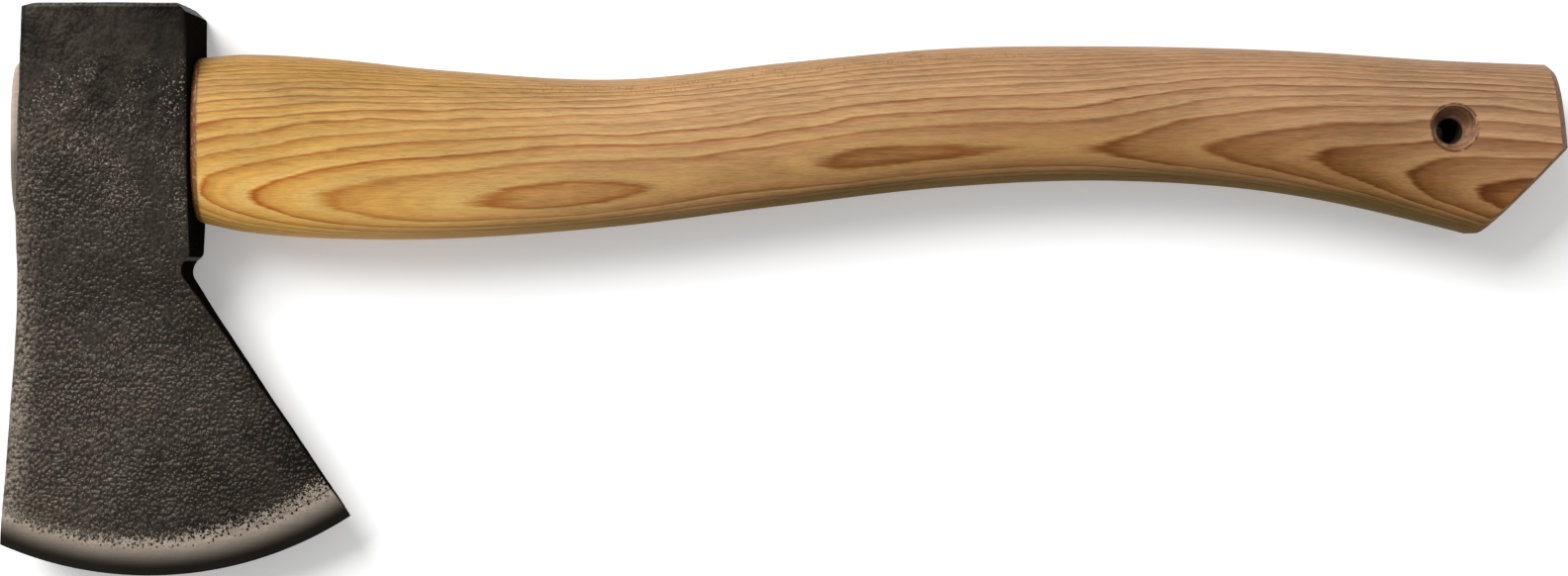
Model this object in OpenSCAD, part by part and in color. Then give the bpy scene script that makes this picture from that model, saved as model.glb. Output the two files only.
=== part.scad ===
// Hatchet: a forged steel head wedged on to a one-piece wooden handle.
// It lies on its side. +X runs from the head to the butt of the handle, +Y from the cutting edge to the
// poll, and +Z up through the cheeks. The origin is under the middle of the whole outline.
// Sizes are millimetres.

/* [Overall] */
// Length from the heel of the cutting edge to the butt of the handle
overall_length = 377; // [360:1:420]
// Height from the lowest point of the cutting edge to the poll
head_height = 138; // [134:1:150]
// Thickness of the head over the eye, which is also the most that the handle has
head_thickness = 26; // [26:0.5:30]

/* [Head] */
// Depth of the poll, from the top of the head to its underside
poll_depth = 40; // [38:0.5:42]
// Depth of the head below the eye
throat_depth = 42.5; // [40:0.5:44]
// How far the heel of the edge stands above the underside of the head
heel_reach = 48; // [46:0.5:52]
// How far the toe of the edge flares out under the handle
toe_reach = 37; // [30:0.5:42]
// Radius of the cutting edge
edge_radius = 90; // [85:1:110]
// Width of the ground bevel along the edge
bevel_width = 7; // [5:0.5:9]
// Thickness of the blade at the top of the bevel
blade_thickness = 3.6; // [3:0.2:5]
// Taper of each side of the blade, in degrees
blade_taper = 2.2; // [1.6:0.1:2.8]
// Radius of the hollow where the cheeks run out into the blade
hollow_radius = 80; // [70:1:90]
// Chamfer round the poll and along the edges of the cheeks
head_chamfer = 1.2; // [0.6:0.1:2]

/* [Eye and wedges] */
// Distance from the poll to the middle of the eye
eye_drop = 32.8; // [32:0.2:36]
// Length of the eye on the underside of the head
eye_length = 34.5; // [32:0.5:35]
// Width of the eye on the underside of the head
eye_width = 15.5; // [14:0.5:16.5]
// How much larger the eye is at the top of the head, as a share
eye_flare = 0.13; // [0.06:0.01:0.14]
// How far the tongue of the handle stands out of the head
tongue_proud = 2.2; // [1.4:0.2:4]
// Thickness of the wooden wedge at its head
wedge_thickness = 4; // [3:0.2:5]
// Depth of the wooden wedge
wedge_depth = 32; // [26:1:34]
// Width of the steel wedge
steel_wedge_width = 22; // [16:1:24]
// Angle between the two wedges, in degrees
steel_wedge_turn = 30; // [20:1:40]

/* [Handle] */
// Rounding of the shoulder that seats against the head
shoulder_round = 1.3; // [0.8:0.1:1.6]
// Bevel round the cut butt
butt_bevel = 1.6; // [0.8:0.1:2]
// Diameter of the lanyard hole
lanyard_hole_d = 6; // [5:0.5:8]
// Diameter of the countersinks of the lanyard hole
countersink_d = 12; // [10:0.5:14]
// Depth of each countersink
countersink_depth = 2.8; // [1.5:0.1:3.2]

/* [Hidden] */
$fn = 64;
clear = 1;

// Levels that the whole tool is laid out from
mid_z = head_thickness / 2;
poll_y = head_height / 2;
edge_y = -head_height / 2;
heel_x = -overall_length / 2;
butt_x = overall_length / 2;
underside_x = heel_x + heel_reach;
eye_y = poll_y - eye_drop;

// Outline of the head: the edge is one arc, and the lug runs into the blade through a small notch
edge_setback = 12;
edge_centre = [underside_x - edge_setback, edge_y + edge_radius];
function on_edge(x) = [x, edge_centre.y - sqrt(pow(edge_radius, 2) - pow(x - edge_centre.x, 2))];
heel = on_edge(heel_x);
toe = on_edge(underside_x + toe_reach);
lug_drop = 59.5;
lug_r = 2.2;
notch_r = 3.6;
notch_depth = 2.3;
lug_centre = [underside_x - lug_r, poll_y - lug_drop];
notch_x = underside_x - notch_depth + notch_r;
notch_rise = sqrt(pow(lug_r + notch_r, 2) - pow(notch_x - lug_centre.x, 2));
notch_centre = [notch_x, lug_centre.y - notch_rise];
lug_to_notch = lug_centre + (notch_centre - lug_centre) * lug_r / (lug_r + notch_r);
to_toe = toe - notch_centre;
notch_turn = atan2(to_toe.y, to_toe.x) - acos(notch_r / norm(to_toe));
notch_to_blade = notch_centre + notch_r * [cos(notch_turn), sin(notch_turn)];
poll_top_x = underside_x - poll_depth;
throat = [underside_x - throat_depth, notch_centre.y];
poll_corner = 2.6;
poll_top_corner = [2.8, 0.9];
overcut = 0.4;

// Section of the head: flat cheeks, a round fall below the eye, a hollow, then the straight blade
hollow_y = -18;
fall_angle = 19;
blade_half = blade_thickness / 2 + (hollow_y - edge_y - bevel_width) * tan(blade_taper);
fall_y = hollow_y + hollow_radius * (sin(fall_angle) - sin(blade_taper));
fall_half = blade_half + hollow_radius * (cos(blade_taper) - cos(fall_angle));
fall_radius = (mid_z - fall_half) / (1 - cos(fall_angle));
flat_y = fall_y + fall_radius * sin(fall_angle);
edge_flat = 0.2;

// Tongue of the handle, which fills the tapered eye
eye_depth = poll_depth + (throat_depth - poll_depth) * eye_drop / (poll_y - throat.y);
tongue_x = underside_x - eye_depth - tongue_proud;
tongue_round = 1;
eye_shape = 2.4;
wedge_tip = 1;
kerf_left = 5;
steel_wedge_depth = 20;
steel_wedge_thickness = 2.6;
steel_wedge_tip = 0.6;

// Stations along the handle: distance from the shoulder, top and bottom from the eye's middle, thickness
handle_length = butt_x - underside_x;
drawn_length = 329;
stations = [
    [0, 20, -19.5, 23],
    [12, 21, -22, 24],
    [32, 20, -23.5, 24.5],
    [62, 17, -23.5, 24.5],
    [102, 15, -20.5, 23.5],
    [142, 19, -15.5, 22.5],
    [182, 22.5, -11, 22],
    [222, 23, -9.5, 22.5],
    [262, 22, -12.5, 24],
    [302, 19.5, -21, 25.5],
    [342, 18, -32.5, 26]
];
handle_shape = 2.6;
ring_points = 48;
ring_step = 8.5;

// Planes that trim the butt: direction that each faces and share of the bevel that it has.
// They meet at the butt's corner, which is placed from the end of the handle.
butt_corner = [0, -2];
butt_cuts = [[4.5, 1], [-44, 0.5]];
lanyard_hole = [butt_x - 28.1, eye_y + 2];

// Smooth curve through column k of the stations, with the slope of each station's neighbours
function slope(i, k) = let (
    a = stations[max(i - 1, 0)],
    b = stations[min(i + 1, len(stations) - 1)]
) (b[k] - a[k]) / (b[0] - a[0]);
function span_at(s, i = 0) = s <= stations[i + 1][0] || i == len(stations) - 2 ? i : span_at(s, i + 1);
function along(s, k) = let (
    i = span_at(s),
    a = stations[i],
    b = stations[i + 1],
    run = b[0] - a[0],
    t = (s - a[0]) / run
) a[k] * (1 + 2 * t) * pow(1 - t, 2) + slope(i, k) * run * t * pow(1 - t, 2)
    + b[k] * t * t * (3 - 2 * t) + slope(i + 1, k) * run * t * t * (t - 1);

// One ring of points round a squared oval that stands across the handle at x
function bulge(v, shape) = sign(v) * pow(abs(v), 2 / shape);
function ring(x, top, bottom, thickness, shape) = [
    for (i = [0 : ring_points - 1]) let (a = 360 * i / ring_points) [
        x,
        eye_y + (top + bottom) / 2 + (top - bottom) / 2 * bulge(cos(a), shape),
        mid_z + thickness / 2 * bulge(sin(a), shape)
    ]
];
function eye_ring(x, inset = 0) = let (
    grow = 1 + eye_flare * (underside_x - x) / eye_depth,
    half = eye_length / 2 * grow - inset
) ring(x, half, -half, eye_width * grow - 2 * inset, eye_shape);
function handle_ring(s) = let (
    edge = max(0, 1 - s / shoulder_round),
    inset = shoulder_round * (1 - sqrt(1 - edge * edge))
) ring(underside_x + s * handle_length / drawn_length, along(s, 1) - inset, along(s, 2) + inset,
    along(s, 3) - 2 * inset, handle_shape);
tongue_rings = [eye_ring(tongue_x, tongue_round), eye_ring(tongue_x + tongue_round), eye_ring(underside_x)];
shoulder_rings = [for (t = [0, 0.1, 0.3, 0.6, 1]) handle_ring(shoulder_round * t)];
handle_rings = [for (s = [4 : ring_step : drawn_length + ring_step]) handle_ring(s)];

// Closed skin over a row of rings
module loft(rings) {
    n = ring_points;
    last = len(rings) - 1;
    sides = [for (r = [0 : last - 1], i = [0 : n - 1]) let (j = (i + 1) % n, a = r * n, b = a + n)
        each [[a + i, b + i, b + j], [a + i, b + j, a + j]]];
    start = [for (i = [0 : n - 1]) i];
    end = [for (i = [0 : n - 1]) last * n + n - 1 - i];
    polyhedron([for (r = rings) each r], concat(sides, [start], [end]), convexity = 6);
}

// Outline of the head from the side, left long below the edge, where the bevel trims it
module head_outline() {
    difference() {
        union() {
            polygon([
                [poll_top_x, poll_y - poll_top_corner.y],
                throat,
                heel + (heel - throat) * overcut,
                toe + (toe - notch_to_blade) * overcut,
                notch_to_blade,
                lug_to_notch,
                lug_centre + [lug_r, 0],
                [underside_x, poll_y - poll_corner],
                [underside_x - poll_corner, poll_y],
                [poll_top_x + poll_top_corner.x, poll_y]
            ]);
            translate(lug_centre) circle(lug_r);
        }
        translate(notch_centre) circle(notch_r);
    }
}

// One half of the head's section, with the poll at the right and the edge at the left.
// The stretches overlap each other, and the halves overlap on the mid-plane.
module half_section() {
    function blade_at(y) = blade_half + (y - hollow_y) * tan(blade_taper);
    polygon([[flat_y, -clear], [poll_y, -clear], [poll_y, mid_z - head_chamfer], [poll_y - head_chamfer, mid_z],
        [flat_y, mid_z]]);
    intersection() {
        translate([hollow_y, -clear]) square([poll_y - hollow_y, mid_z + clear]);
        translate([flat_y, mid_z - fall_radius]) circle(fall_radius);
    }
    difference() {
        translate([hollow_y, -clear]) square([fall_y - hollow_y, mid_z + clear]);
        translate([hollow_y - hollow_radius * sin(blade_taper), blade_half + hollow_radius * cos(blade_taper)])
            circle(hollow_radius);
    }
    polygon([[edge_y - clear, -clear], [fall_y, -clear], [fall_y, blade_at(fall_y)],
        [edge_y - clear, blade_at(edge_y - clear)]]);
}

module head_section() {
    half_section();
    mirror([0, 1]) half_section();
}

// Disc with a double bevel, whose rim is the cutting edge
module bevel_disc() {
    inner = edge_radius - 2 * bevel_width;
    top = mid_z + clear;
    rotate_extrude($fn = 128)
        polygon([[0, -top], [inner, -top], [inner, -blade_thickness], [edge_radius, -edge_flat / 2],
            [edge_radius, edge_flat / 2], [inner, blade_thickness], [inner, top], [0, top]]);
}

// Bar that chamfers both cheeks along a straight of the outline, with the head on the right of the way it runs
module chamfer_bar(from, to) {
    reach = to - from;
    width = 4 * head_chamfer;
    translate(from) rotate([0, 0, atan2(reach.y, reach.x)]) for (side = [0, 1]) mirror([0, 0, side])
        translate([-clear, -head_chamfer / 2, mid_z - head_chamfer / 2]) rotate([-45, 0, 0])
            translate([0, -width / 2, 0]) cube([norm(reach) + 2 * clear, width, width]);
}

module axe_head() {
    color([0.2, 0.19, 0.18]) difference() {
        translate([0, 0, mid_z]) difference() {
            intersection() {
                linear_extrude(head_thickness + 2 * clear, center = true) head_outline();
                translate([heel_x - clear, 0, 0]) rotate([90, 0, 90])
                    linear_extrude(heel_reach + toe_reach + 2 * clear) head_section();
                translate(edge_centre) bevel_disc();
            }
            chamfer_bar(throat, [poll_top_x, poll_y]);
            chamfer_bar([underside_x, poll_y], [underside_x, fall_y]);
        }
        loft([eye_ring(tongue_x - clear), eye_ring(underside_x + clear)]);
    }
}

// Prism that narrows from its head at tongue_x to its tip, centred on the middle of the eye
module taper_prism(head, tip, depth, width, over = 0) {
    flare = (head - tip) / depth * over;
    translate([tongue_x, eye_y, mid_z]) rotate([90, 0, 0]) linear_extrude(width, center = true)
        polygon([[-over, -(head + flare) / 2], [depth, -tip / 2], [depth, tip / 2], [-over, (head + flare) / 2]]);
}

module wooden_taper(over = 0) {
    taper_prism(wedge_thickness, wedge_tip, wedge_depth, 2 * eye_length, over);
}

module steel_taper(over = 0) {
    translate([0, eye_y, mid_z]) rotate([steel_wedge_turn, 0, 0]) translate([0, -eye_y, -mid_z])
        taper_prism(steel_wedge_thickness, steel_wedge_tip, steel_wedge_depth, steel_wedge_width, over);
}

// Everything beyond one plane of the butt, with a bevel along both of its edges
module butt_cut(facing, bevel) {
    reach = 60;
    over = bevel + clear;
    translate([butt_x + butt_corner.x, eye_y + butt_corner.y, mid_z]) rotate([0, 0, facing])
        rotate([90, 0, 0]) linear_extrude(2 * reach, center = true)
            polygon([[0, bevel - mid_z], [0, mid_z - bevel], [-over, mid_z + clear],
                [reach, mid_z + clear], [reach, -mid_z - clear], [-over, -mid_z - clear]]);
}

// Lanyard hole with a countersink on each side
module lanyard_bore() {
    r = lanyard_hole_d / 2;
    wide = countersink_d / 2;
    translate([lanyard_hole.x, lanyard_hole.y, mid_z]) {
        cylinder(h = head_thickness + 2 * clear, r = r, center = true);
        for (side = [0, 1]) mirror([0, 0, side]) translate([0, 0, mid_z - countersink_depth])
            cylinder(h = countersink_depth, r1 = r, r2 = wide);
    }
}

module handle() {
    color([0.78, 0.6, 0.38]) difference() {
        loft(concat(tongue_rings, shoulder_rings, handle_rings));
        wooden_taper(clear);
        translate([tongue_x + wedge_depth - clear, eye_y, mid_z])
            translate([0, -eye_length, -wedge_tip / 2]) cube([kerf_left + clear, 2 * eye_length, wedge_tip]);
        steel_taper(clear);
        for (cut = butt_cuts) butt_cut(cut[0], cut[1] * butt_bevel);
        lanyard_bore();
    }
}

module eye_wedge() {
    color([0.62, 0.44, 0.27]) difference() {
        intersection() {
            loft(tongue_rings);
            wooden_taper(clear);
        }
        steel_taper(clear);
    }
}

module steel_wedge() {
    color([0.5, 0.5, 0.52]) steel_taper();
}

axe_head();
handle();
eye_wedge();
steel_wedge();
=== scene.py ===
"""Looks of the hatchet: a black forged head wedged on to a varnished ash handle, lying on a white sheet.

Shapes are worked out in millimetres in the CAD frame, with +X from the head to the butt, +Y from the edge to
the poll and +Z up, and become metres when a mesh is made.
"""

import math

import bmesh
import bpy
import numpy as np
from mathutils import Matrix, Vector, noise


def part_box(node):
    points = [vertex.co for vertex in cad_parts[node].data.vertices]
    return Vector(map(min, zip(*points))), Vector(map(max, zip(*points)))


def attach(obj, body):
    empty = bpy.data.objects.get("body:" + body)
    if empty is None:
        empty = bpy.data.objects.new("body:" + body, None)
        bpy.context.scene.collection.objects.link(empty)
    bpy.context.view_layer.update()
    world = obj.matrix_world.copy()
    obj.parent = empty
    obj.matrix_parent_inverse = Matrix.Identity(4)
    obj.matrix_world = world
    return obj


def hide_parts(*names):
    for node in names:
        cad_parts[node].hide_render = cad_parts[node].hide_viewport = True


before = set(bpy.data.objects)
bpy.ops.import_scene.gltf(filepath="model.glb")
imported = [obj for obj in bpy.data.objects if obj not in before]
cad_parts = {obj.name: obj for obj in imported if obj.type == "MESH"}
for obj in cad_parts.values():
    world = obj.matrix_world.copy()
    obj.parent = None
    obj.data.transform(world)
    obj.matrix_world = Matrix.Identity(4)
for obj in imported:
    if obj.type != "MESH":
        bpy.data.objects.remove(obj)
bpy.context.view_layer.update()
MM = 0.001


def box_mm(node):
    return [np.array(corner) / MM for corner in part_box(node)]


# Levels of the tool, read from the CAD frame
(heel_x, edge_y, _), (toe_x, poll_y, head_thickness) = box_mm("axe_head")
(tongue_x, _, _), (butt_x, _, _) = box_mm("handle")
mid_z = head_thickness / 2
underside_x = heel_x + 48
eye_y = poll_y - 32.8

# Handle: distance from the shoulder, top and bottom from the eye's middle, thickness
stations = np.array([
    [0, 20, -19.5, 23],
    [12, 21, -22, 24],
    [32, 20, -23.5, 24.5],
    [62, 17, -23.5, 24.5],
    [102, 15, -20.5, 23.5],
    [142, 19, -15.5, 22.5],
    [182, 22.5, -11, 22],
    [222, 23, -9.5, 22.5],
    [262, 22, -12.5, 24],
    [302, 19.5, -21, 25.5],
    [342, 18, -32.5, 26],
])
handle_length = stations[-1, 0]
handle_shape = 2.6
handle_points = 96
ring_step = 2.5
shoulder_round = 1.3
shoulder_steps = (0, 0.05, 0.15, 0.3, 0.5, 0.75, 1)

# Planes that trim the butt: direction that each faces and width of its bevel. They meet at the butt's corner,
# and meet the skin within this reach of the handle's end. A bevel takes every third point of the skin.
butt_corner = np.array([butt_x, eye_y - 2])
butt_cuts = [(4.5, 1.6), (-44, 0.8)]
butt_reach = 60
bevel_spacing = 3

# Lanyard hole, with countersinks that were drilled a little off its middle
lanyard_hole = np.array([butt_x - 28.1, eye_y + 2])
lanyard_r = 3
countersink = lanyard_hole + [0.9, 0.8]
countersink_r = 6
countersink_depth = 2.8
lanyard_points = 64

# Eye, tongue and the slots for the wedges: thickness at the end and at the bottom, depth, width and turn
eye_length, eye_width, eye_flare = 34.5, 15.5, 0.13
eye_shape = 2.4
tongue_proud = 2.2
eye_depth = underside_x - tongue_x - tongue_proud
tongue_round = 1
wedge_slots = [(4, 1, 32, 2 * eye_length, 0), (2.6, 0.6, 20, 22, 30)]

# Head outline and section
poll_depth, throat_depth = 40, 42.5
edge_radius = 90
edge_centre = np.array([underside_x - 12, edge_y + edge_radius])
lug_r, notch_r, notch_depth = 2.2, 3.6, 2.3
lug = np.array([underside_x - lug_r, poll_y - 59.5])
notch_x = underside_x - notch_depth + notch_r
notch = np.array([notch_x, lug[1] - math.sqrt((lug_r + notch_r) ** 2 - (notch_x - lug[0]) ** 2)])
poll_corner = 2.6
poll_top_corner = (2.8, 0.9)
bevel_width, bevel_power, blade_thickness = 8, 1.7, 3.6
blade_slope = math.tan(math.radians(2.2))
hollow_y, hollow_radius, fall_angle = -18, 80, math.radians(19)
head_chamfer = 1.2

# Rounded corners along the head's cheeks: width and depth on the left and on the right, less where half of the
# head's thickness is under this value
left_corner, right_corner = (2.4, 1.5), (0.9, 0.9)
corner_half = 4

# Rows of the head's mesh: start, end and count, as shares of the way from the poll to the edge. They bow to
# the curve of the edge over a span of it. Points of half of a row, and rows in the cap over the poll.
head_rows = [(0, 0.02, 9), (0.02, 0.92, 230), (0.92, 1, 34)]
bow_span = (0.3, 0.92)
wall_points, corner_points, face_points = 9, 4, 100
cap_rows = 11

# Hammer marks and scale: mean depth and size of each. They start at one distance from the edge and are full at
# another.
forge_marks = [(0.10, 9), (0.05, 2.4)]
forge_start, forge_full = 5, 8


def smooth_step(value, start, end):
    """0 up to start, 1 from end on and a smooth step between."""
    t = np.clip((value - start) / (end - start), 0, 1)
    return t * t * (3 - 2 * t)


# Meshes

def mesh_piece(name, points, faces):
    """A piece of the tool from points in millimetres."""
    mesh = bpy.data.meshes.new(name)
    mesh.from_pydata((np.asarray(points) * MM).tolist(), [], faces)
    piece = bpy.data.objects.new(name, mesh)
    bpy.context.scene.collection.objects.link(piece)
    return piece


def loft(name, rings):
    """Closed skin over a row of rings, each with the same number of points."""
    rings = np.asarray(rings)
    count, n = rings.shape[:2]
    i = np.arange(n)
    j = np.roll(i, -1)
    faces = []
    for a in range(0, (count - 1) * n, n):
        faces += np.column_stack([a + i, a + n + i, a + n + j, a + j]).tolist()
    faces += [i.tolist(), (i[::-1] + (count - 1) * n).tolist()]
    piece = mesh_piece(name, rings.reshape(-1, 3), faces)
    edit(piece, lambda bm: bmesh.ops.recalc_face_normals(bm, faces=bm.faces))
    return piece


def edit(piece, change):
    """Runs a change on the bmesh of a piece."""
    bm = bmesh.new()
    bm.from_mesh(piece.data)
    change(bm)
    bm.to_mesh(piece.data)
    bm.free()


def cut_out(piece, cutter):
    """Takes a cutter out of a piece and removes the cutter."""
    step = piece.modifiers.new("cut", "BOOLEAN")
    step.object = cutter
    step.solver = "MANIFOLD"
    bpy.context.view_layer.update()
    cut = piece.evaluated_get(bpy.context.evaluated_depsgraph_get())
    mesh = bpy.data.meshes.new_from_object(cut)
    piece.modifiers.clear()
    piece.data = mesh
    bpy.data.objects.remove(cutter)


def shade_smooth(piece, sharp_angle):
    piece.data.shade_smooth()
    piece.data.set_sharp_from_angle(angle=math.radians(sharp_angle))


def stand_for(piece, node):
    """The piece takes the place of a CAD node and of its finish."""
    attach(piece, "root")
    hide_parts(node)


# Handle

def along(s, column):
    """Smooth curve through one column of the stations, with the slope of each station's neighbours."""
    at, value = stations[:, 0], stations[:, column]
    last = len(at) - 1
    after = np.arange(1, last + 2).clip(max=last)
    before = np.arange(-1, last).clip(min=0)
    slope = (value[after] - value[before]) / (at[after] - at[before])
    i = np.clip(np.searchsorted(at, s) - 1, 0, last - 1)
    run = at[i + 1] - at[i]
    t = (s - at[i]) / run
    from_a = value[i] * (1 + 2 * t) + slope[i] * run * t
    from_b = value[i + 1] * (3 - 2 * t) + slope[i + 1] * run * (t - 1)
    return from_a * (1 - t) ** 2 + from_b * t ** 2


def oval(x, top, bottom, thickness, shape):
    """Ring round a squared oval that stands across the handle at x."""
    angle = np.linspace(0, 2 * math.pi, handle_points, endpoint=False)
    across, up = (np.sign(v) * np.abs(v) ** (2 / shape) for v in (np.cos(angle), np.sin(angle)))
    y = eye_y + (top + bottom) / 2 + (top - bottom) / 2 * across
    return np.column_stack([np.full(handle_points, x), y, mid_z + thickness / 2 * up])


def eye_ring(x, inset=0):
    """Ring round the eye at x, which widens toward the top of the head."""
    grow = 1 + eye_flare * (underside_x - x) / eye_depth
    half = eye_length / 2 * grow - inset
    return oval(x, half, -half, eye_width * grow - 2 * inset, eye_shape)


def handle_ring(s):
    """Ring round the handle at a distance from the shoulder, whose edge is rounded."""
    edge = max(0, 1 - s / shoulder_round)
    inset = shoulder_round * (1 - math.sqrt(1 - edge * edge))
    top, bottom, thickness = (along(s, column) for column in (1, 2, 3))
    return oval(underside_x + s, top - inset, bottom + inset, thickness - 2 * inset, handle_shape)


def cut_off(bm, point, outward):
    """Removes what lies beyond a plane and closes the cut."""
    everything = bm.verts[:] + bm.edges[:] + bm.faces[:]
    bmesh.ops.bisect_plane(bm, geom=everything, plane_co=Vector(point) * MM, plane_no=Vector(outward),
        clear_outer=True)
    bmesh.ops.holes_fill(bm, edges=[e for e in bm.edges if e.is_boundary])


def facing_vector(facing):
    turn = math.radians(facing)
    return np.array([math.cos(turn), math.sin(turn), 0])


def beyond_butt(points, facing):
    """Distance of points beyond a plane of the butt that faces this way."""
    return (points[..., :2] - butt_corner) @ facing_vector(facing)[:2]


def butt_contour(facing):
    """Points where a plane of the butt meets the skin, and the direction out of the contour at each."""
    skin = np.array([handle_ring(s) for s in np.arange(handle_length - butt_reach, handle_length, 1)])
    beyond = beyond_butt(skin, facing)
    after = np.maximum((beyond > 0).argmax(axis=0), 1)
    column = np.arange(handle_points)
    a, b = skin[after - 1, column], skin[after, column]
    over_a, over_b = beyond[after - 1, column], beyond[after, column]
    contour = a + (b - a) * (over_a / (over_a - over_b))[:, None]
    out = np.cross(np.roll(contour, -1, axis=0) - np.roll(contour, 1, axis=0), b - a)
    out -= np.outer(out @ facing_vector(facing), facing_vector(facing))
    return contour, out / np.linalg.norm(out, axis=1)[:, None]


def trim_butt(bm):
    """Cuts the butt to its planes, then bevels each plane all round where it meets the skin."""
    on_plane = 0.1
    for facing, _ in butt_cuts:
        cut_off(bm, (*butt_corner, mid_z), facing_vector(facing))
    for (facing, bevel), (other, _) in zip(butt_cuts, reversed(butt_cuts)):
        contour, out = butt_contour(facing)
        for point, away in list(zip(contour, out))[::bevel_spacing]:
            if beyond_butt(point, other) < 0 and abs(beyond_butt(point, facing)) < on_plane:
                cut_off(bm, point - away * bevel, facing_vector(facing) + away)


def spindle(name, middle, levels):
    """Round cutter that stands upright, with a radius at each level."""
    angle = np.linspace(0, 2 * math.pi, lanyard_points, endpoint=False)
    rings = []
    for z, r in levels:
        x, y = middle[0] + r * np.cos(angle), middle[1] + r * np.sin(angle)
        rings.append(np.column_stack([x, y, np.full(lanyard_points, z)]))
    return loft(name, rings)


def lanyard_cutters():
    """Cutters for the bore of the lanyard hole and its two countersinks."""
    over = 2
    wide = countersink_r + over * (countersink_r - lanyard_r) / countersink_depth
    bottom, top = countersink_depth, head_thickness - countersink_depth
    return [
        spindle("bore", lanyard_hole, [(-over, lanyard_r), (head_thickness + over, lanyard_r)]),
        spindle("low_countersink", countersink, [(-over, wide), (bottom, lanyard_r)]),
        spindle("high_countersink", countersink, [(top, lanyard_r), (head_thickness + over, wide)]),
    ]


def wedge_cutter(head, tip, depth, width, turn):
    """Tapered slot in the end of the tongue, turned about the middle of the eye."""
    over = 1
    c, s = math.cos(math.radians(turn)), math.sin(math.radians(turn))
    rings = []
    for x, thick in [(-over, head + (head - tip) / depth * over), (depth, tip)]:
        corner = np.array([[-1, -1], [1, -1], [1, 1], [-1, 1]]) * [width / 2, thick / 2]
        y, z = (corner @ [[c, s], [-s, c]]).T
        rings.append(np.column_stack([np.full(4, tongue_x + x), eye_y + y, mid_z + z]))
    return loft("wedge_cutter", rings)


def make_handle():
    tongue = [eye_ring(tongue_x, tongue_round), eye_ring(tongue_x + tongue_round), eye_ring(underside_x)]
    shoulder = [handle_ring(shoulder_round * t) for t in shoulder_steps]
    grip = [handle_ring(s) for s in np.arange(shoulder_round + ring_step, handle_length, ring_step)]
    handle = loft("ash_handle", tongue + shoulder + grip)
    edit(handle, trim_butt)
    for cutter in lanyard_cutters():
        cut_out(handle, cutter)
    for slot in wedge_slots:
        cut_out(handle, wedge_cutter(*slot))
    shade_smooth(handle, sharp_angle=32)
    stand_for(handle, "handle")
    return handle


# Head

def on_edge(x):
    return edge_centre[1] - np.sqrt(edge_radius ** 2 - (x - edge_centre[0]) ** 2)


heel = np.array([heel_x, on_edge(heel_x)])
toe = np.array([toe_x, on_edge(toe_x)])
throat = np.array([underside_x - throat_depth, notch[1]])
to_toe = toe - notch
notch_turn = math.atan2(to_toe[1], to_toe[0]) - math.acos(notch_r / np.linalg.norm(to_toe))
notch_end = notch + notch_r * np.array([math.cos(notch_turn), math.sin(notch_turn)])


def top_side(y):
    """Left-hand end of the head at height y."""
    x = np.interp(y, [heel[1], throat[1], poll_y], [heel[0], throat[0], underside_x - poll_depth])
    across, down = poll_top_corner
    return x + np.maximum(0, y - poll_y + down) * across / down


def underside(y):
    """Right-hand end of the head at height y: the underside, the lug, the notch and the sweep to the toe."""
    lug_end = lug[1] + (notch[1] - lug[1]) * lug_r / (lug_r + notch_r)
    on_lug = lug[0] + np.sqrt(np.maximum(0, lug_r ** 2 - (y - lug[1]) ** 2))
    in_notch = notch[0] - np.sqrt(np.maximum(0, notch_r ** 2 - (y - notch[1]) ** 2))
    sweep = np.interp(y, [toe[1], notch_end[1]], [toe[0], notch_end[0]])
    x = np.select([y > lug[1], y > lug_end, y > notch_end[1]], [underside_x, on_lug, in_notch], sweep)
    return x - np.maximum(0, y - poll_y + poll_corner)


def cheek_half(y):
    """Half of the head's thickness before chamfer and bevel: flat cheek, round fall, hollow and blade."""
    taper = math.atan(blade_slope)
    blade_half = blade_thickness / 2 + (hollow_y - edge_y - bevel_width) * blade_slope
    fall_y = hollow_y + hollow_radius * (math.sin(fall_angle) - math.sin(taper))
    fall_half = blade_half + hollow_radius * (math.cos(taper) - math.cos(fall_angle))
    fall_radius = (mid_z - fall_half) / (1 - math.cos(fall_angle))
    flat_y = fall_y + fall_radius * math.sin(fall_angle)
    blade = blade_half + (y - hollow_y) * blade_slope
    into_hollow = np.clip(y - hollow_y + hollow_radius * math.sin(taper), 0, hollow_radius)
    hollow = blade_half + hollow_radius * math.cos(taper) - np.sqrt(hollow_radius ** 2 - into_hollow ** 2)
    fall = mid_z - fall_radius + np.sqrt(np.maximum(0, fall_radius ** 2 - (y - flat_y) ** 2))
    return np.select([y > flat_y, y > fall_y, y > hollow_y], [mid_z, fall, hollow], blade)


def half_thickness(x, y):
    """Half of the head's thickness, with a rounded chamfer at the poll and a rounded bevel at the edge."""
    chamfer = np.clip((y - poll_y) / head_chamfer + 1, 0, 1)
    cheek = cheek_half(y) - head_chamfer * (1 - np.sqrt(1 - chamfer ** 2))
    from_edge = np.clip((edge_radius - np.hypot(x - edge_centre[0], y - edge_centre[1])) / bevel_width, 0, 1)
    bevel = blade_thickness / 2 * (1 - (1 - from_edge) ** bevel_power)
    return np.where(from_edge < 1, np.minimum(bevel, cheek), cheek)


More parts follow.
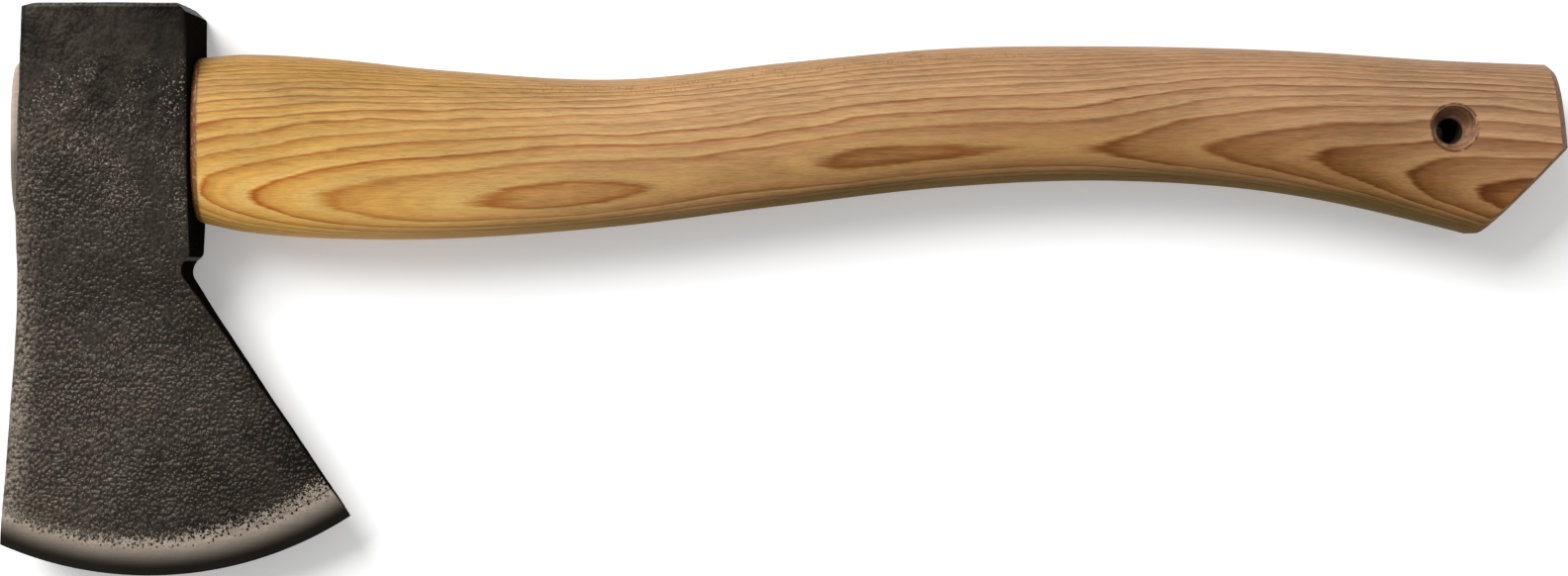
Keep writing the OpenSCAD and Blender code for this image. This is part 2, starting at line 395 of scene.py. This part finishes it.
def head_profile():
    """Points of half of a row, from the left wall over the face to the right wall.

    Each has a share of the row's length, a shift to the right of it, a drop below the face and a share of the
    height.
    """
    wall = np.linspace(0, 1, wall_points)
    turn = np.linspace(0, math.pi / 2, corner_points + 2)[1:-1]
    back = turn[::-1]
    face = np.linspace(0, 1, face_points)
    (left_wide, left_deep), (right_wide, right_deep) = left_corner, right_corner
    legs = [
        (0, 0, left_deep, wall),
        (0, left_wide * (1 - np.cos(turn)), left_deep * (1 - np.sin(turn)), 1),
        (face, left_wide * (1 - face) - right_wide * face, 0, 1),
        (1, -right_wide * (1 - np.cos(back)), right_deep * (1 - np.sin(back)), 1),
        (1, 0, right_deep, wall[::-1]),
    ]
    return np.hstack([np.array(np.broadcast_arrays(*leg)) for leg in legs])


def all_round(near, far):
    """Rows of the near half, joined with those of the far half on the way back."""
    return np.hstack([near, far[:, -2:0:-1]])


def head_rings():
    """Rings round the head from the poll to the edge, the lower ones bowed to the curve of the edge."""
    row = np.unique(np.concatenate([np.linspace(*span) for span in head_rows]))[:, None]
    left_y, right_y = (poll_y + row * (end[1] - poll_y) for end in (heel, toe))
    left_x, right_x = top_side(left_y), underside(right_y)
    length = np.hypot(right_x - left_x, right_y - left_y)

    share, shift, drop, rise = head_profile()
    share = share + shift / length
    bulge = heel[1] + share * (toe[1] - heel[1]) - on_edge(heel[0] + share * (toe[0] - heel[0]))
    x = left_x + share * (right_x - left_x)
    y = left_y + share * (right_y - left_y) - smooth_step(row, *bow_span) * bulge
    half = half_thickness(x, y)
    z = rise * (half - drop * np.minimum(1, half / corner_half))
    rings = np.stack([all_round(x, x), all_round(y, y), mid_z + all_round(z, -z)], axis=-1)

    middle = np.array([underside_x - poll_depth / 2, poll_y, mid_z])
    shrink = np.array([2 * mid_z / poll_depth, 0, 1])
    cap = [middle + (rings[0] - middle) * (1 - k * shrink) for k in np.linspace(1, 0, cap_rows + 1)[:-1]]
    return np.concatenate([cap, rings])


def forge(mesh):
    """Sinks hammer marks and scale into the skin of the head, but not into the ground bevel."""
    skin = [(vertex.co.copy(), vertex.normal.copy()) for vertex in mesh.vertices]
    sunk = []
    for co, normal in skin:
        place = co / MM
        from_edge = edge_radius - math.hypot(place.x - edge_centre[0], place.y - edge_centre[1])
        rough = min(1, max(0, (from_edge - forge_start) / (forge_full - forge_start)))
        marks = sum(depth * (1 + noise.noise(place / size)) for depth, size in forge_marks)
        sunk.extend(co - normal * marks * rough * MM)
    mesh.vertices.foreach_set("co", sunk)


def make_head():
    over, weld = 4, 0.002
    head = loft("forged_head", head_rings())
    edit(head, lambda bm: bmesh.ops.remove_doubles(bm, verts=bm.verts, dist=weld * MM))
    cut_out(head, loft("eye_cutter", [eye_ring(tongue_x - over), eye_ring(underside_x + over)]))
    forge(head.data)
    shade_smooth(head, sharp_angle=40)
    stand_for(head, "axe_head")
    return head


# Tools for materials

class Field:
    """A value that changes over a surface. Arithmetic on fields adds Math nodes."""

    def __init__(self, tree, socket):
        self.tree = tree
        self.socket = socket

    def math(self, operation, *others):
        node = self.tree.nodes.new("ShaderNodeMath")
        node.operation = operation
        for socket, value in zip(node.inputs, (self, *others)):
            feed(self.tree, socket, value)
        return Field(self.tree, node.outputs[0])

    def __add__(self, other):
        return self.math("ADD", other)

    def __sub__(self, other):
        return self.math("SUBTRACT", other)

    def __mul__(self, other):
        return self.math("MULTIPLY", other)

    def __truediv__(self, other):
        return self.math("DIVIDE", other)

    def __pow__(self, other):
        return self.math("POWER", other)

    def rest(self):
        """What is left of 1."""
        return self * -1 + 1

    def ramp(self, start, end):
        """Smooth step from 0 at start to 1 at end."""
        node = self.tree.nodes.new("ShaderNodeMapRange")
        node.interpolation_type = "SMOOTHSTEP"
        for socket, value in zip(node.inputs, (self, start, end)):
            feed(self.tree, socket, value)
        return Field(self.tree, node.outputs[0])


def feed(tree, socket, value):
    """Links a field to a socket, or sets a plain value on it."""
    if isinstance(value, Field):
        tree.links.new(value.socket, socket)
    else:
        socket.default_value = value


class Surface:
    """A Principled material with fields of the place on the surface, in millimetres."""

    def __init__(self, name):
        self.material = bpy.data.materials.new(name)
        self.material.use_nodes = True
        self.tree = self.material.node_tree
        self.shader = self.tree.nodes["Principled BSDF"]
        metres = self.node("TexCoord", out="Object")
        self.place = self.node("VectorMath", metres, (1 / MM,) * 3, operation="MULTIPLY")
        self.x, self.y, self.z = (self.node("SeparateXYZ", self.place, out=axis) for axis in "XYZ")
        self.faces_x = self.node("SeparateXYZ", self.node("NewGeometry", out="Normal"), out="X")

    def node(self, kind, *values, out=0, **settings):
        node = self.tree.nodes.new("ShaderNode" + kind)
        for name, value in settings.items():
            setattr(node, name, value)
        for socket, value in zip(node.inputs, values):
            feed(self.tree, socket, value)
        return Field(self.tree, node.outputs[out])

    def noise(self, size, detail=2.0, roughness=0.5, place=None):
        """Noise from 0 to 1 whose lumps have this size along x, y and z."""
        spot = self.node("VectorMath", place or self.place, size, operation="DIVIDE")
        node = self.tree.nodes.new("ShaderNodeTexNoise")
        feed(self.tree, node.inputs["Vector"], spot)
        node.inputs["Scale"].default_value = 1
        node.inputs["Detail"].default_value = detail
        node.inputs["Roughness"].default_value = roughness
        return Field(self.tree, node.outputs[0])

    def chance(self, field):
        """A random value from 0 to 1 for each whole number of a field."""
        node = self.tree.nodes.new("ShaderNodeTexWhiteNoise")
        node.noise_dimensions = "1D"
        feed(self.tree, node.inputs["W"], field.math("FLOOR"))
        return Field(self.tree, node.outputs["Value"])

    def curve(self, field, points):
        """Smooth curve through points of a field's value and the wanted value."""
        at, wanted = np.array(points, float).T
        low, span = at[0], at[-1] - at[0]
        base, reach = wanted.min(), np.ptp(wanted)
        node = self.tree.nodes.new("ShaderNodeFloatCurve")
        dots = node.mapping.curves[0].points
        spots = np.column_stack([(at - low) / span, (wanted - base) / reach]).tolist()
        dots[0].location, dots[-1].location = spots[0], spots[-1]
        for spot in spots[1:-1]:
            dots.new(*spot)
        node.mapping.update()
        feed(self.tree, node.inputs["Value"], (field - low) / span)
        return Field(self.tree, node.outputs[0]) * reach + base

    def cells(self, size):
        """Distance from 0 at the middle of a cell to about 1 at its rim."""
        spot = self.node("VectorMath", self.place, size, operation="DIVIDE")
        node = self.tree.nodes.new("ShaderNodeTexVoronoi")
        feed(self.tree, node.inputs["Vector"], spot)
        node.inputs["Scale"].default_value = 1
        return Field(self.tree, node.outputs["Distance"])

    def from_axis(self, middle):
        """Distance from an upright axis."""
        across = self.x - middle[0]
        up = self.y - middle[1]
        return (across * across + up * up).math("SQRT")

    def mix(self, amount, a, b):
        """Colour from a to b."""
        node = self.tree.nodes.new("ShaderNodeMix")
        node.data_type = "RGBA"
        for socket, value in zip((node.inputs[0], node.inputs[6], node.inputs[7]), (amount, a, b)):
            feed(self.tree, socket, value)
        return Field(self.tree, node.outputs[2])

    def filtered(self, colour, by):
        """Colour multiplied by another, as by a clear layer."""
        return self.node("VectorMath", colour, by, operation="MULTIPLY")

    def tint(self, colour, level):
        """Colour made lighter or darker by a level about 1."""
        return self.filtered(colour, self.node("CombineXYZ", level, level, level))

    def relief(self, height, depth):
        """Bumps of this depth in millimetres from a height from 0 to 1."""
        bump = self.tree.nodes.new("ShaderNodeBump")
        bump.inputs["Distance"].default_value = depth * MM
        feed(self.tree, bump.inputs["Height"], height)
        self.tree.links.new(bump.outputs[0], self.shader.inputs["Normal"])

    def finish(self, **values):
        for name, value in values.items():
            feed(self.tree, self.shader.inputs[name.replace("_", " ")], value)
        return self.material


def srgb(red, green, blue):
    """A screen colour from 0 to 255 as a linear one."""
    def linear(v):
        v /= 255
        return v / 12.92 if v <= 0.04045 else ((v + 0.055) / 1.055) ** 2.4
    return (linear(red), linear(green), linear(blue), 1)


# Ash wood

# Growth rings: width, and slope across the section before the knob and at it. At the knob they also arch,
# about a line a little below the eye's middle. Each change comes over a span of distances from the shoulder.
ring_width = 0.95
ring_lean, lean_span = (0.27, 0.2), (215, 320)
ring_arch, arch_drop, arch_reach = 0.008, 2, 9
arch_span = (205, 255)

# Distance from the shoulder, and number of the ring that comes to the near face there
ring_tips = [
    (-8, 5), (2, 4), (14, 3), (30, 2), (65, 1), (87, 0.72), (111, 1), (129, 1.18), (147, 1), (170, 0.86),
    (189, 1), (204, 1.06), (213, 1), (241, 0), (268, -1), (290, -2), (307.5, -3), (334, -4.3),
]


def ring_depth(y, z, turned, arched):
    """Depth below the middle of the handle, across rings that lean and arch."""
    lean = turned * (ring_lean[1] - ring_lean[0]) + ring_lean[0]
    off = y - (eye_y - arch_drop)
    arch = off * off / (off * off / arch_reach ** 2 + 1)
    return (y - eye_y) * lean - (z - mid_z) - arch * arched * ring_arch


def ring_drift(s):
    """How far the rings drift along the handle, so that ring tips come where they are listed."""
    past_round = 2
    ring = handle_ring(min(max(s, past_round), handle_length))
    tip_at, tip = zip(*ring_tips)
    depth = ring_depth(ring[:, 1], ring[:, 2], smooth_step(s, *lean_span), smooth_step(s, *arch_span))
    return np.interp(s, tip_at, tip) * ring_width - depth.min()


class Ash(Surface):
    """Surface of the handle, with fields of the place along and across it, of its rings and of its fibres."""

    def __init__(self, name):
        super().__init__(name)
        self.from_shoulder = self.x - underside_x
        self.to_grip = self.from_shoulder.ramp(20, 130)
        self.to_butt = self.from_shoulder.ramp(60, 300)
        self.at_head = self.to_grip.rest()
        self.level = self.level_on_handle()
        self.ring = self.growth_ring()
        self.within = self.ring.math("FRACT")
        self.fibre = self.noise((16, 0.6, 0.6), 4, 0.7)
        self.fleck = self.noise((3.5, 0.3, 0.3), 2, 0.6)
        self.pores = self.fleck.ramp(0.56, 0.7) * self.within.ramp(0.5, 0.05)
        # Painted shade along the lower edge of the grip, tinted olive as a painted reflection.
        self.shaded_belly = self.level.ramp(-0.8, -0.95) * (self.to_grip * 0.65 + 0.1)
        # Inside the bore, where the wood is painted almost black as shade.
        self.bore = self.from_axis(lanyard_hole).ramp(3.5, 3.1)

    def level_on_handle(self):
        """From -1 along the bottom of the handle to 1 along its top."""
        at, top, bottom, _ = stations.T
        middle = self.curve(self.from_shoulder, list(zip(at, eye_y + (top + bottom) / 2)))
        half = self.curve(self.from_shoulder, list(zip(at, (top - bottom) / 2)))
        return (self.y - middle) / half

    def growth_ring(self):
        """Number of the growth ring, a whole number where a ring starts."""
        drift = self.curve(self.from_shoulder, [(at, ring_drift(at)) for at, _ in ring_tips])
        sway = (self.noise((60, 12, 12)) - 0.5) * 0.8
        wavy = self.level.ramp(-0.3, 0.6) * (self.to_grip * -0.5 + 1) + 0.2
        ripple = (self.noise((20, 3, 3)) - 0.5) * wavy
        fray = (self.noise((14, 0.5, 0.5), 3, 0.6) - 0.5) * 0.2
        turned = self.from_shoulder.ramp(*lean_span)
        arched = self.from_shoulder.ramp(*arch_span)
        depth = ring_depth(self.y, self.z, turned, arched)
        return (depth + drift + sway + ripple + fray) / ring_width


def late_wood(s):
    """Share of the brown wood at the end of each ring: a thin line in a band that is broader at the knob."""
    strength = s.chance(s.ring) * 0.6 + s.noise((30, 2.5, 2.5)) * 0.8 + s.at_head * 0.25 + 0.25
    at_knob = s.ring.ramp(0.6, -0.8)
    band = s.within ** (at_knob * -1.6 + 3) * (at_knob * 0.5 + 0.4)
    line = s.within ** 8.0
    return (band + line) * strength * s.within.ramp(1, 0.87)


def grain(s):
    """Colour of the rings: yellow at the head, tan at the butt, with painted shade and an olive painted
    reflection along the lower side.
    """
    brown_share = late_wood(s)
    pale = s.mix(s.to_grip, srgb(194, 147, 71), srgb(190, 148, 102))
    pale = s.mix(s.to_butt, pale, srgb(169, 129, 94))
    light = s.mix(s.to_butt, srgb(208, 174, 108), srgb(196, 160, 120))
    pale = s.mix(s.within.ramp(0.5, 0) * 0.5, pale, light)
    brown = s.mix(s.to_butt, srgb(146, 76, 18), srgb(106, 57, 26))
    wood = s.mix(brown_share, pale, brown)
    # Painted shade: the lower half of the grip is made darker and browner, most in the brown rings.
    low_side_shade = s.level.ramp(0.5, -0.7) * s.to_grip * (brown_share * 0.5 + s.to_butt * 0.3 + 0.45)
    wood = s.mix(low_side_shade, wood, s.filtered(wood, (0.6, 0.47, 0.18)))
    # Painted shade, olive, along the lower edge.
    return s.mix(s.shaded_belly, wood, srgb(84, 68, 18))


def streaked(s, wood):
    """Wood with streaks of fibre, pores and blotches, with painted light below near the head and painted shade
    above.
    """
    lines = s.noise((30, 0.22, 1), 3, 0.6, s.node("CombineXYZ", s.x, s.ring, 0.0))
    blotch = s.noise((34, 8, 8), 3)
    streaks = (s.fibre - 0.5) * 0.6 + (s.fleck - 0.5) * 0.85 + (lines - 0.5) * 0.7 + (blotch - 0.5) * 0.5
    # Painted shade along the top side, and painted light along the bottom side near the head.
    upper_shade = s.level.ramp(0.1, 1) * (s.at_head * 0.12 + 0.24)
    lit_and_shaded = s.level.ramp(-0.2, -0.8) * s.at_head * 0.35 - upper_shade
    return s.tint(wood, streaks + lit_and_shaded + 0.98 - s.pores * 0.4)


def with_scuffs(s, wood):
    """Wood with a row of small dark dashes near the top of the grip."""
    near_top = s.level.ramp(0.75, 0.8) * s.level.ramp(0.93, 0.88)
    on_grip = s.from_shoulder.ramp(60, 90) * s.from_shoulder.ramp(215, 195)
    dashes = s.noise((0.5, 1.5, 1.5), 0).ramp(0.62, 0.72) * near_top * on_grip
    return s.mix(dashes * 0.4, wood, srgb(120, 72, 40))


def with_cut_ends(s, wood):
    """Wood with a dark speckled band at the shoulder next to the head, a grey end of the tongue that is darker
    toward the edge, and dark end grain at the butt.
    """
    specks = s.noise((0.5, 1.2, 1.2), 2).ramp(0.5, 0.75)
    # A dark speckled band where the handle meets the head.
    shoulder_band = s.from_shoulder.ramp(2.2, 1.5) * s.from_shoulder.ramp(-1, 0)
    wood = s.mix(shoulder_band * 0.85, wood, s.mix(specks, srgb(96, 50, 28), srgb(170, 122, 84)))
    out_of_eye = s.x.ramp(underside_x - eye_depth + 1, underside_x - eye_depth - 0.5)
    tongue = s.mix(s.y.ramp(eye_y - 6, eye_y + 4), srgb(96, 90, 84), srgb(160, 148, 138))
    wood = s.mix(out_of_eye * 0.9, wood, s.tint(tongue, s.fibre + 0.5))
    end_grain = s.mix(s.noise((1, 1, 1)), srgb(72, 50, 40), srgb(132, 96, 74))
    return s.mix(s.faces_x.ramp(0.3, 0.6) * 0.7, wood, end_grain)


def with_lanyard_hole(s, wood):
    """Wood with painted shade in the bore, and countersinks with a scratched rim, a mottled brown tone and
    painted shade on their upper side.
    """
    from_middle = s.from_axis(countersink)
    above = (s.y - countersink[1]) / from_middle
    # Painted shade on the upper side of each countersink, over a mottled brown.
    shaded_countersink = s.mix(above.ramp(-0.3, 0.6), srgb(128, 94, 70), srgb(66, 36, 17))
    shaded_countersink = s.tint(shaded_countersink, s.noise((1.2, 1.2, 1.2), 3) * 2 - 0.1)
    wood = s.mix(from_middle.ramp(5.5, 5.0) * 0.85, wood, shaded_countersink)
    rim = from_middle.ramp(5.2, 5.6) * from_middle.ramp(6.2, 5.7)
    scratch = rim * s.noise((2, 2, 2), 3).ramp(0.35, 0.6)
    wood = s.mix(scratch * 0.9, wood, srgb(72, 42, 26))
    # Painted shade: the wood in the bore is made almost black.
    return s.mix(s.bore * 0.95, wood, srgb(30, 19, 10))


def ash_wood():
    s = Ash("ash_wood")
    wood = grain(s)
    for change in (streaked, with_scuffs, with_cut_ends, with_lanyard_hole):
        wood = change(s, wood)
    s.relief(s.within ** 6.0 * -0.4 + s.fibre * 0.5 - s.pores * 0.6, depth=0.05)
    matt = s.bore.math("MAXIMUM", s.shaded_belly)
    return s.finish(Base_Color=wood, Roughness=s.fibre * 0.2 + matt * 0.4 + 0.4, Specular_IOR_Level=0.2)


# Forged steel

class Forged(Surface):
    """Surface of the head, with fields of the place on it and of its scale."""

    def __init__(self, name):
        super().__init__(name)
        self.from_edge = self.from_axis(edge_centre) * -1 + edge_radius
        self.from_left = self.x - self.curve(self.y, [
            (edge_y, heel_x), (throat[1], throat[0]), (poll_y, underside_x - poll_depth)])
        upper_right = self.x.ramp(underside_x - 34, underside_x) * self.y.ramp(0, 50)
        above_bit = self.from_edge.ramp(26, 12) * self.from_left.ramp(5, 40)
        near_poll = self.y.ramp(40, 58)
        to_right = self.from_left.ramp(20, 75)
        # Painted shade: darker toward the right, away from the lamp; also darker over the upper right, near
        # the poll and above the bit.
        self.shaded_side = to_right * 0.6 + upper_right * 0.1 + near_poll * 0.15 + above_bit * 0.2
        self.patch = self.noise((16, 16, 16), 4, 0.6)
        self.coarse = self.y.ramp(52, 10) * 0.85 + 0.15
        self.pebble = self.noise((0.8, 0.95, 0.8), 0.8).ramp(0.28, 0.72)
        smooth = (self.patch + upper_right * 0.14).ramp(0.52, 0.66) * 0.6
        self.grains = self.pebble * smooth.rest()


def black_scale(s):
    """Colour of the scale: grey grains in black, in patches, with painted glints, painted light toward the
    left, painted shade toward the right, and wear with a painted highlight on the left edge and the poll.
    """
    scale = s.mix(s.grains, srgb(4, 3, 3), srgb(56, 50, 43))
    # Painted light: the scale is made lighter toward the left edge, the side facing the lamp.
    lit_side = s.from_left.ramp(34, 4) * s.y.ramp(30, -20) * 0.4
    scale = s.tint(scale, s.patch * 3.6 - 1.2 + lit_side + s.coarse * 0.2 - s.shaded_side)
    # Painted glints: small bright specks in clusters.
    painted_glint = s.noise((0.45, 0.45, 0.45), 0).ramp(0.64, 0.74) * s.noise((7, 7, 7), 2).ramp(0.38, 0.62)
    painted_glint = painted_glint * s.y.ramp(5, 25) * s.y.ramp(60, 50)
    scale = s.mix(painted_glint * 0.6, scale, srgb(150, 140, 126))
    # Wear on the left edge and the poll's edge, made lighter still as a painted highlight where they face the
    # lamp.
    worn_and_lit = s.from_left.ramp(7, 0) * s.y.ramp(45, -10) + s.y.ramp(poll_y - 1.5, poll_y - 0.3) * 0.3
    return s.mix(worn_and_lit * (s.grains * 1.3 + 0.1), scale, srgb(117, 107, 96))


def ground_share(s):
    """Where the bevel is ground bare, with a ragged border to the scale that is rougher toward the toe."""
    fine = s.noise((0.3, 0.3, 0.3), 1)
    to_toe_end = s.x.ramp(edge_centre[0], toe_x)
    ragged = (fine - 0.5) * (to_toe_end * 9 + 7) + (s.pebble - 0.5) * 2 - (s.x - edge_centre[0]) * 0.025
    pits = s.cells((1, 1, 1)).ramp(0.36, 0.28) * s.from_edge.ramp(5.5, 8)
    return (s.from_edge + ragged + pits * 6).ramp(9.8, 8.6)


def ground_bevel(s):
    """Colour of the bare bevel, darkened toward the very edge as painted shade where the bevel curves away."""
    # Painted shade toward the edge, over the colour of the bare steel.
    ground = s.mix(s.from_edge.ramp(1.6, 7.6), srgb(26, 23, 20), srgb(168, 154, 140))
    return s.tint(ground, (s.noise((9, 0.7, 9), 3) - 0.5) * 0.4 + 1.0)


def forged_steel():
    s = Forged("forged_steel")
    bare = ground_share(s)
    steel = s.mix(bare, black_scale(s), ground_bevel(s))
    # Painted shade: faces that turn toward the butt, such as the head's underside, are made near black and
    # lose their gloss.
    shaded_underside = s.faces_x.ramp(0.45, 0.8)
    steel = s.mix(shaded_underside, steel, srgb(18, 15, 12))
    dents = s.noise((6, 7, 6), 2)
    lumps = s.noise((2.2, 2.6, 2.2), 1)
    s.relief(dents + (lumps * 0.6 + s.grains * 0.9) * s.coarse * (bare * -0.9 + 1), depth=0.33)
    # Gloss is lowered on the painted-shade side as well.
    gloss = shaded_underside.rest() * (s.coarse * 0.37 + s.patch * 0.46 - s.shaded_side * 0.36)
    return s.finish(Base_Color=steel, Metallic=bare * (shaded_underside * -0.6 + 0.6), Roughness=0.42,
        Specular_IOR_Level=gloss, Specular_Tint=srgb(255, 238, 216))


# Wedges

def wedge_wood():
    s = Surface("wedge_wood")
    fibre = s.noise((6, 0.5, 0.5), 3)
    s.relief(fibre, depth=0.1)
    return s.finish(Base_Color=s.mix(fibre, srgb(120, 86, 54), srgb(168, 130, 90)), Roughness=0.7)


def wedge_steel():
    s = Surface("wedge_steel")
    scale = s.noise((0.8, 0.8, 0.8), 3)
    s.relief(scale, depth=0.08)
    return s.finish(Base_Color=s.mix(scale, srgb(96, 92, 88), srgb(150, 146, 140)), Metallic=0.9,
        Roughness=scale * 0.3 + 0.35)


# Studio

def white_sheet():
    """Paper that shows a little lighter to the camera, but for the dark spot under the lanyard hole."""
    s = Surface("white_sheet")
    paper = s.mix(s.noise((0.6, 0.6, 0.6)), (0.93, 0.93, 0.93, 1), (0.97, 0.97, 0.97, 1))
    light_path = s.tree.nodes.new("ShaderNodeLightPath")
    seen = Field(s.tree, light_path.outputs["Is Camera Ray"])
    for kind in ("Is Glossy Ray", "Is Transmission Ray"):
        seen = seen.math("MAXIMUM", Field(s.tree, light_path.outputs[kind]))
    # The glow is left off under the lanyard hole, so that the floor seen through it keeps the handle's shadow.
    beside_hole = s.from_axis(lanyard_hole).ramp(5, 9)
    return s.finish(Base_Color=paper, Roughness=0.9, Specular_IOR_Level=0.0, Emission_Color=(1, 1, 1, 1),
        Emission_Strength=seen * beside_hole * 0.2)


def make_floor():
    half, z = 3000, -0.05
    corners = [(-half, -half, z), (half, -half, z), (half, half, z), (-half, half, z)]
    floor = mesh_piece("floor", corners, [(0, 1, 2, 3)])
    floor.data.materials.append(white_sheet())


def make_lights():
    """Even white sky, and a large lamp high up beyond the poll and to the left."""
    world = bpy.data.worlds.new("studio")
    world.use_nodes = True
    sky = world.node_tree.nodes["Background"]
    sky.inputs["Color"].default_value = (1, 1, 1, 1)
    sky.inputs["Strength"].default_value = 0.45
    bpy.context.scene.world = world
    lamp = bpy.data.lights.new("key", "AREA")
    lamp.size = 1.4
    lamp.energy = 62
    key = bpy.data.objects.new("key", lamp)
    key.location = (-1.1, 1.3, 1.7)
    key.rotation_euler = (-key.location).to_track_quat("-Z", "Y").to_euler()
    bpy.context.scene.collection.objects.link(key)


def make_camera():
    """Camera straight above the tool, with the tool's length filling the frame."""
    distance, view_width, middle_y = 737, 380, 0.7
    lens = bpy.data.cameras.new("camera")
    lens.sensor_width = 36
    lens.lens = lens.sensor_width * distance / view_width
    camera = bpy.data.objects.new("camera", lens)
    camera.location = Vector((heel_x + view_width / 2, middle_y, mid_z + distance)) * MM
    bpy.context.scene.collection.objects.link(camera)
    bpy.context.scene.camera = camera


def wear(piece, material):
    piece.data.materials.clear()
    piece.data.materials.append(material)


wear(make_handle(), ash_wood())
wear(make_head(), forged_steel())
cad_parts["eye_wedge"].data.materials[0] = wedge_wood()
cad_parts["steel_wedge"].data.materials[0] = wedge_steel()
make_floor()
make_lights()
make_camera()
bpy.context.scene.view_settings.view_transform = "Standard"
